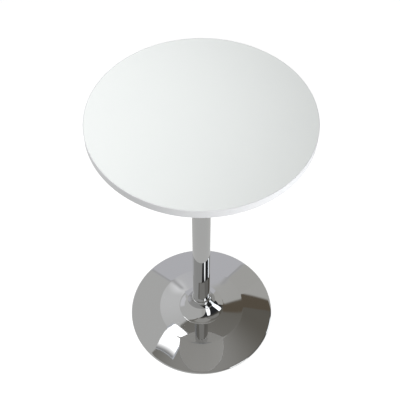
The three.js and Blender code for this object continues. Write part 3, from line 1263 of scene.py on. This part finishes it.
@dataclass
class TrumpetBase:
    """The chrome shell, the weight and what holds them, and the rubber ring that stands on the floor."""

    finishes: Finishes
    segments: int = 224
    wall: float = 1.5 * MM
    crease_angle: float = math.radians(40)
    ring_width: float = 8.2 * MM
    ring_ease: float = 0.5 * MM
    ring_groove: float = 0.9 * MM
    ring_chamfer: Point2 = (1.6 * MM, 1.8 * MM)
    recess: float = 18 * MM
    recess_depth: float = 6 * MM
    ballast_lip: float = 1.5 * MM
    ballast_shoulder: float = 2 * MM
    cast_round: float = 0.4 * MM
    washer_bore: float = 6.5 * MM
    washer_round: float = 0.4 * MM
    coil_rise: float = 0.5 * MM
    coil_sweep: float = math.radians(352)
    coil_round: float = 0.25 * MM
    head_across: float = 18 * MM
    head_flat: float = 8.55 * MM
    head_chamfer: float = 1.2 * MM
    head_round: float = 0.2 * MM
    seat_step: float = 0.3 * MM
    shank: float = 5.8 * MM
    point: float = 1.2 * MM
    shank_round: float = 0.1 * MM

    def build(self) -> None:
        """Builds the base's pieces from the outside in."""
        self._shell()
        self._floor_ring()
        self._ballast()
        self._bolt()
        dress("hub_tube", Slot.ZINC, self.finishes)
        dress("rattle_ring", Slot.RUBBER, self.finishes)
        for node in ("top_bolt", "top_washer", "top_spring_washer"):
            dress(node, Slot.ZINC, self.finishes)

    def _shell(self) -> None:
        """The pressed shell, polished outside and dull inside."""
        shell = NodeBox.of("base_shell")
        collar = NodeBox.of("neck_collar")
        outline = ShellOutline(shell.radius, shell.low, collar.radius)
        outside = outline.at_depth(0.0, 1.0)
        inside = outline.at_depth(self.wall, 0.5)
        bm = turned([*outside, *reversed(inside)], self.segments)
        below_neck, facing_down = shell.high - 0.1 * MM, -0.01
        for face in bm.faces:
            if face.calc_center_median().z < below_neck and face.normal.z < facing_down:
                face.material_index = 1
        piece = to_object("base_shell_trumpet", bm)
        piece.data.set_sharp_from_angle(angle=self.crease_angle)
        faces = [self.finishes.by_slot[Slot.CHROME], self.finishes.shell_inside]
        present(piece, Slot.CHROME, faces, "base_shell")

    def _floor_ring(self) -> None:
        """The rubber ring: a flat foot, a groove round its inner side and a chamfer under the shell."""
        ring = NodeBox.of("floor_ring")
        inner = ring.radius - self.ring_width
        ease, groove = self.ring_ease, self.ring_groove
        middle = (ring.low + ring.high) / 2
        outline = [
            (inner + ease, ring.low),
            (ring.radius - ease, ring.low),
            (ring.radius, ring.low + ease),
            (ring.radius, ring.high - self.ring_chamfer[1]),
            (ring.radius - self.ring_chamfer[0], ring.high),
            (inner + ease, ring.high),
            (inner, ring.high - ease),
            (inner, middle + groove),
            (inner + groove, middle),
            (inner, middle - groove),
            (inner, ring.low + ease),
        ]
        piece = to_object("floor_ring_rubber", turned(outline, self.segments))
        piece.data.set_sharp_from_angle(angle=SHARP_ANGLE)
        present(piece, Slot.RUBBER, [self.finishes.by_slot[Slot.RUBBER]], "floor_ring")

    def _ballast(self) -> None:
        """The cast weight: a disc with rounded edges and a recess underneath for the bolt's head."""
        ballast = NodeBox.of("ballast_disc")
        lip, shoulder = self.ballast_lip, self.ballast_shoulder
        ceiling = ballast.low + self.recess_depth
        outline = [
            (self.recess, ballast.low),
            *arc((ballast.radius - lip, ballast.low + lip), lip, -QUARTER_TURN, 0.0, 4),
            *arc((ballast.radius - shoulder, ballast.high - shoulder), shoulder, 0.0, QUARTER_TURN, 4),
            (self.washer_bore, ballast.high),
            (self.washer_bore, ceiling),
            (self.recess, ceiling),
        ]
        cast = soften(turned(outline, 160), self.cast_round, 2)
        piece = even_normals(to_object("ballast_disc_cast", cast))
        present(piece, Slot.IRON, [self.finishes.by_slot[Slot.IRON]], "ballast_disc")

    def _bolt(self) -> None:
        """The foot bolt with its washer and split spring washer."""
        washer = NodeBox.of("foot_washer")
        ring = turned(block(self.washer_bore, washer.radius, washer.low, washer.high), 64)
        self._fitting("foot_washer_round", soften(ring, self.washer_round, 2), "foot_washer")

        spring = NodeBox.of("foot_spring_washer")
        section = block(self.washer_bore, spring.radius, spring.low, spring.high - self.coil_rise)
        coil = turned(section, 60, self.coil_sweep, self.coil_rise)
        self._fitting("foot_spring_washer_split", soften(coil, self.coil_round, 2), "foot_spring_washer")

        bolt = NodeBox.of("foot_bolt")
        seat = spring.low - self.seat_step
        head = self._bolt_head(bolt.low, seat)
        self._fitting("foot_bolt_head", soften(head, self.head_round, 2), "foot_bolt")
        outline = [
            (0.0, seat),
            (self.shank, seat),
            (self.shank, bolt.high - self.point),
            (self.shank - self.point, bolt.high),
            (0.0, bolt.high),
        ]
        self._fitting("foot_bolt_shank", soften(turned(outline, 48), self.shank_round, 1))

    def _bolt_head(self, low: float, seat: float) -> bmesh.types.BMesh:
        """The bolt's hexagon head, its corners turned off below.

        Args:
            low: The height of its lower face.
            seat: The height of the face that bears on the spring washer.

        Returns:
            The head.
        """
        corner = self.head_across / HEXAGON
        above = seat + 1 * MM
        outline = [
            (0.0, low),
            (self.head_flat, low),
            (corner, low + self.head_chamfer),
            (corner, above),
            (0.0, above),
        ]
        return carve(cylinder(corner, low, seat, 6), [turned(outline, 96)], Cut.INTERSECT)

    def _fitting(self, name: str, bm: bmesh.types.BMesh, *nodes: str) -> None:
        """Presents a zinc-plated fitting.

        Args:
            name: The piece's name.
            bm: Its mesh.
            *nodes: The CAD nodes that it stands for.
        """
        piece = even_normals(to_object(name, bm))
        present(piece, Slot.ZINC, [self.finishes.by_slot[Slot.ZINC]], *nodes)


# ---------------------------------------------------------------- studio


@dataclass(frozen=True)
class Region:
    """A convex part of the room round the table, with soft edges.

    Its corners are directions on a map of the sky seen from the table: degrees from straight up, towards +X
    and towards +Y. They run anticlockwise.
    """

    corners: tuple[Point2, ...]
    soft: float


@dataclass(frozen=True)
class Patch(Region):
    """A region of light or shade."""

    tone: Colour


@dataclass
class Studio:
    """The room: what the chrome reflects, the light from it, the floor and the camera.

    Its dark side lies overhead, in front and on the right, and pale paper hangs behind and on the left.
    Angles on the map of the sky are in degrees, as a Region's corners are.
    """

    paper: Colour = (0.585, 0.585, 0.577)
    right_paper: Colour = (0.53, 0.525, 0.505)
    glow: Colour = (0.74, 0.74, 0.745)
    glow_centre: Point2 = (-6.5, 30.5)
    glow_reach: float = 11.0
    overhead: Colour = (0.35, 0.343, 0.327)
    dusk: Colour = (0.155, 0.145, 0.125)
    night: Colour = (0.03, 0.031, 0.034)
    dusk_falls: Point2 = (8.0, 36.0)
    night_falls: Point2 = (38.0, 60.0)
    paper_turns: Point2 = (-4.0, 10.0)
    floor_starts: Point2 = (-0.2, -0.24)
    dark_side: Region = Region(
        (
            (-4.0, 25.0), (-23.0, 6.0), (-25.0, -10.0), (-24.0, -20.0), (-18.0, -40.0),
            (0.0, -52.0), (35.0, -70.0), (120.0, -95.0), (120.0, 80.0), (24.3, 38.7),
        ),
        0.8,
    )
    lit_wall: Patch = Patch(
        ((-4.0, 33.2), (4.2, 34.2), (46.0, 90.0), (-62.0, 90.0)), 1.6, (0.645, 0.645, 0.68)
    )
    brown_band: Patch = Patch(
        ((4.0, 27.5), (48.0, 30.0), (48.0, 49.0), (24.3, 38.7), (2.0, 27.9)), 0.8, (0.135, 0.112, 0.084)
    )
    right_gleam: Patch = Patch(
        ((26.0, -40.0), (36.0, -32.0), (46.0, -10.0), (44.0, 8.0), (33.0, 8.0), (28.0, -14.0)),
        4.0,
        (0.29, 0.284, 0.27),
    )
    left_window: Patch = Patch(
        ((-64.0, 28.0), (-37.0, 28.0), (-35.0, 62.0), (-64.0, 64.0)), 8.0, (0.78, 0.78, 0.81)
    )
    bright_spot: Patch = Patch(
        ((-5.6, 32.2), (-3.4, 32.6), (-3.8, 34.4), (-6.0, 34.6)), 1.8, (0.98, 0.98, 1.0)
    )
    front_gleam: Patch = Patch(
        ((-20.0, -18.0), (-14.0, -43.0), (22.0, -43.0), (28.0, -16.0)), 5.0, (0.4, 0.393, 0.375)
    )
    paper_corner: Patch = Patch(
        ((24.0, 39.3), (34.0, 31.2), (64.0, 34.0), (80.0, 66.0), (30.0, 60.0)), 1.2, (0.54, 0.535, 0.515)
    )
    front_lamp: Patch = Patch(
        ((34.0, -45.0), (57.0, -88.0), (90.0, -50.0), (44.0, -34.5)), 2.5, (2.2, 2.23, 2.27)
    )
    side_lamp: Patch = Patch(
        ((42.0, 22.0), (47.0, 11.0), (105.0, 1.0), (100.0, 35.0)), 2.5, (2.2, 2.3, 2.4)
    )
    left_seam: Patch = Patch(
        ((-22.5, 51.0), (-4.3, 33.0), (-3.7, 33.4), (-21.5, 51.6)), 0.9, (0.51, 0.51, 0.52)
    )
    right_seam: Patch = Patch(
        ((3.9, 34.2), (4.5, 34.0), (19.0, 53.6), (18.0, 54.2)), 0.9, (0.49, 0.49, 0.495)
    )

    softbox_middle: Point3 = (-0.505, 0.685, 2.686)
    softbox_across: Point3 = (0.76, -0.595, 0.262)
    softbox_along: Point3 = (0.236, 0.628, 0.742)
    softbox_foot: float = -1.08
    cloth: tuple[Point2, ...] = ((-0.25, 1.1), (-0.29, -0.8), (-0.17, -1.08), (0.238, -1.08), (0.238, 1.1))
    frame: tuple[Point2, ...] = (
        (-0.285, 1.135), (-0.325, -0.7), (-0.29, -0.8), (-0.17, -1.08), (0.273, -1.08), (0.273, 1.135)
    )
    frame_behind: float = 0.01
    cloth_light: Colour = (2.6, 2.6, 2.62)
    frame_light: Colour = (0.6, 0.62, 0.665)
    foot_fade: float = 0.14
    faded: float = 0.12

    key_watts: float = 133.0
    key_spread: float = math.radians(58.0)
    key_size: float = 0.25
    key_place: Point3 = (-0.8, 0.0, 3.1)
    key_aim: Point3 = (-0.42, 0.0, 1.0)
    fill_watts: float = 14.0
    fill_size: float = 0.5
    fill_place: Point3 = (1.3, -1.1, 0.72)
    fill_aim: Point3 = (0.1, 0.0, 0.95)

    floor_reach: float = 60.0
    floor_tone: Colour = (0.42, 0.42, 0.42)
    floor_glow: float = 0.8

    lens: float = 67.27
    sensor: float = 36.0
    camera_place: Point3 = (0.0, -1.3162, 2.3802)
    camera_dip: float = math.radians(52.737)
    camera_roll: float = math.radians(0.124)

    def build(self) -> None:
        """Builds the room's light, the floor and the camera."""
        self._world()
        self._softbox()
        self._key_light()
        self._edge_light()
        self._floor()
        self._camera()
        view = bpy.context.scene.view_settings
        view.view_transform = "Standard"
        view.look = "None"

    def _world(self) -> None:
        """Paints the room by direction. The camera itself sees plain white."""
        world = bpy.data.worlds.new("studio")
        bpy.context.scene.world = world
        world.use_nodes = True
        graph = Graph(world.node_tree)
        way = graph.node("SeparateXYZ", {0: graph.node("TexCoord").outputs["Generated"]})
        flat = graph.node("CombineXYZ", {"X": way.outputs["X"], "Y": way.outputs["Y"], "Z": 0.0}).outputs[0]
        level = graph.node("VectorMath", {0: flat}, operation="LENGTH").outputs["Value"]
        from_zenith = graph.math("MULTIPLY", graph.math("ARCCOSINE", way.outputs["Z"]), math.degrees(1.0))
        spread = graph.math("DIVIDE", from_zenith, graph.math("MAXIMUM", level, 1e-4))
        east = graph.math("MULTIPLY", way.outputs["X"], spread)
        north = graph.math("MULTIPLY", way.outputs["Y"], spread)

        dusk = graph.ramp(from_zenith, *self.dusk_falls)
        dark = graph.blend(dusk, rgba(self.overhead), rgba(self.dusk))
        dark = graph.blend(graph.ramp(from_zenith, *self.night_falls), dark, rgba(self.night))
        light = graph.blend(graph.ramp(east, *self.paper_turns), rgba(self.paper), rgba(self.right_paper))
        wall = self._mask(graph, self.lit_wall, east, north)
        light = graph.blend(wall, light, rgba(self.lit_wall.tone))
        glowing = graph.ramp(self._distance(graph, east, north), self.glow_reach, 0.0)
        light = graph.blend(glowing, light, rgba(self.glow))
        tone = graph.blend(self._mask(graph, self.dark_side, east, north), light, dark)
        for patch in self._patches():
            tone = graph.blend(self._mask(graph, patch, east, north), tone, rgba(patch.tone))
        floor = graph.ramp(way.outputs["Z"], *self.floor_starts)
        tone = graph.blend(floor, tone, rgba(self.paper))

        seen = graph.node("LightPath").outputs["Is Camera Ray"]
        shown = graph.blend(seen, tone, rgba(WHITE))
        background = graph.node("Background", {"Color": shown, "Strength": 1.0})
        graph.node("OutputWorld", {"Surface": background.outputs[0]})

    def _patches(self) -> list[Patch]:
        """The patches over both sides of the room, each painted over those before it."""
        return [
            self.brown_band,
            self.right_gleam,
            self.left_window,
            self.bright_spot,
            self.front_gleam,
            self.paper_corner,
            self.front_lamp,
            self.side_lamp,
            self.left_seam,
            self.right_seam,
        ]

    def _distance(self, graph: Graph, east: Socket, north: Socket) -> Socket:
        """Degrees from the middle of the glow.

        Args:
            graph: The world's graph.
            east: Degrees from straight up, towards +X.
            north: Degrees from straight up, towards +Y.

        Returns:
            The distance.
        """
        place = graph.node("CombineXYZ", {"X": east, "Y": north, "Z": 0.0}).outputs[0]
        away = graph.node("VectorMath", {0: place, 1: (*self.glow_centre, 0.0)}, operation="DISTANCE")
        return away.outputs["Value"]

    @staticmethod
    def _mask(graph: Graph, region: Region, east: Socket, north: Socket) -> Socket:
        """The region's mask: 1 inside it and 0 outside, with soft edges.

        Args:
            graph: The world's graph.
            region: The region.
            east: Degrees from straight up, towards +X.
            north: Degrees from straight up, towards +Y.

        Returns:
            The mask.
        """
        mask: Any = 1.0
        edge = region.soft / 2
        for start, end in zip(region.corners, (*region.corners[1:], region.corners[0])):
            along = Vector((end[0] - start[0], end[1] - start[1])).normalized()
            side = graph.math("MULTIPLY", graph.math("SUBTRACT", north, start[1]), along.x)
            other = graph.math("MULTIPLY", graph.math("SUBTRACT", east, start[0]), along.y)
            inside = graph.ramp(graph.math("SUBTRACT", side, other), -edge, edge)
            mask = graph.math("MULTIPLY", mask, inside)
        return mask

    def _softbox(self) -> None:
        """The main light: a long softbox up on the left, leaning away behind the table, in a grey frame."""
        across, along = Vector(self.softbox_across), Vector(self.softbox_along)
        facing = Matrix((across, along, across.cross(along))).transposed().to_4x4()
        place = Matrix.Translation(self.softbox_middle) @ facing
        foot = place @ Vector((0.0, self.softbox_foot, 0.0))
        self._glowing_sheet("softbox_cloth", place, self.cloth, 0.0, self.cloth_light, foot)
        self._glowing_sheet("softbox_frame", place, self.frame, self.frame_behind, self.frame_light)

    def _glowing_sheet(
        self,
        name: str,
        place: Matrix,
        corners: tuple[Point2, ...],
        behind: float,
        tone: Colour,
        foot: Vector | None = None,
    ) -> None:
        """A flat sheet of light that only the first reflection in a polished face shows.

        Args:
            name: The sheet's name.
            place: Where it stands and how it is turned.
            corners: Its corners in its own plane.
            behind: How far behind that plane it lies, in metres.
            tone: Its light.
            foot: A point on the edge that it fades out at, if it has one.
        """
        bm = bmesh.new()
        bm.faces.new([bm.verts.new(place @ Vector((x, y, behind))) for x, y in corners])
        sheet = to_object(name, bm)
        material = bpy.data.materials.new(name)
        material.use_nodes = True
        material.cycles.emission_sampling = "NONE"
        graph = Graph(material.node_tree)
        bounces = graph.node("LightPath").outputs["Glossy Depth"]
        strength = graph.ramp(bounces, 1.9, 1.1, self.faded)
        if foot is not None:
            point = graph.node("TexCoord").outputs["Object"]
            away = graph.node("VectorMath", {0: point, 1: foot}, operation="SUBTRACT").outputs[0]
            rise = graph.node("VectorMath", {0: away, 1: place.col[1].xyz}, operation="DOT_PRODUCT")
            fade = graph.ramp(rise.outputs["Value"], 0.0, self.foot_fade, self.faded)
            strength = graph.math("MULTIPLY", strength, fade)
        glow = graph.node("Emission", {"Color": rgba(tone), "Strength": strength})
        graph.node("OutputMaterial", {"Surface": glow.outputs[0]})
        sheet.data.materials.append(material)
        for kind in ("camera", "diffuse", "shadow"):
            setattr(sheet, f"visible_{kind}", False)

    def _key_light(self) -> None:
        """A wide soft spot over the left side, for the slow fall of light across the top."""
        light = bpy.data.lights.new("key", "SPOT")
        light.energy = self.key_watts
        light.spot_size = self.key_spread
        light.spot_blend = 1.0
        light.shadow_soft_size = self.key_size
        self._matt_light(light, Vector(self.key_place), Vector(self.key_aim))

    def _edge_light(self) -> None:
        """A low light on the right in front, for the table's edge. It lies below the top's face."""
        light = bpy.data.lights.new("edge_fill", "AREA")
        light.size = self.fill_size
        light.energy = self.fill_watts
        self._matt_light(light, Vector(self.fill_place), Vector(self.fill_aim))

    @staticmethod
    def _matt_light(light: bpy.types.Light, place: Vector, aim: Vector) -> None:
        """Hangs a lamp that only matt faces take light from.

        Args:
            light: The lamp.
            place: Where it hangs.
            aim: The point that it is turned to.
        """
        lamp = bpy.data.objects.new(light.name, light)
        lamp.location = place
        lamp.rotation_euler = (aim - place).to_track_quat("-Z", "Y").to_euler()
        lamp.visible_glossy = False
        lamp.visible_camera = False
        bpy.context.scene.collection.objects.link(lamp)

    def _floor(self) -> None:
        """A plain pale floor, lit almost to white, that keeps a faint shadow."""
        bm = bmesh.new()
        bmesh.ops.create_grid(bm, x_segments=1, y_segments=1, size=self.floor_reach)
        floor = to_object("floor", bm)
        material = bpy.data.materials.new("pale_floor")
        material.use_nodes = True
        graph = Graph(material.node_tree)
        matt = graph.node("BsdfDiffuse", {"Color": rgba(self.floor_tone)})
        glow = graph.node("Emission", {"Color": rgba(WHITE), "Strength": self.floor_glow})
        both = graph.node("AddShader", {0: matt.outputs[0], 1: glow.outputs[0]})
        graph.node("OutputMaterial", {"Surface": both.outputs[0]})
        floor.data.materials.append(material)
        floor.visible_glossy = False
        floor.visible_diffuse = False

    def _camera(self) -> None:
        """A camera in front of the table, looking down on it."""
        data = bpy.data.cameras.new("camera")
        data.lens = self.lens
        data.sensor_width = self.sensor
        camera = bpy.data.objects.new("camera", data)
        camera.location = self.camera_place
        camera.rotation_euler = (QUARTER_TURN - self.camera_dip, self.camera_roll, 0.0)
        bpy.context.scene.collection.objects.link(camera)
        bpy.context.scene.camera = camera


def main() -> None:
    """Builds the table and its studio in order."""
    logging.basicConfig(level=logging.INFO, format="%(name)s: %(message)s")
    finishes = Finishes()
    Studio().build()
    TableTop(finishes).build()
    UnderPlate(finishes).build()
    Column(finishes).build()
    TrumpetBase(finishes).build()


if __name__ == "__main__":
    main()
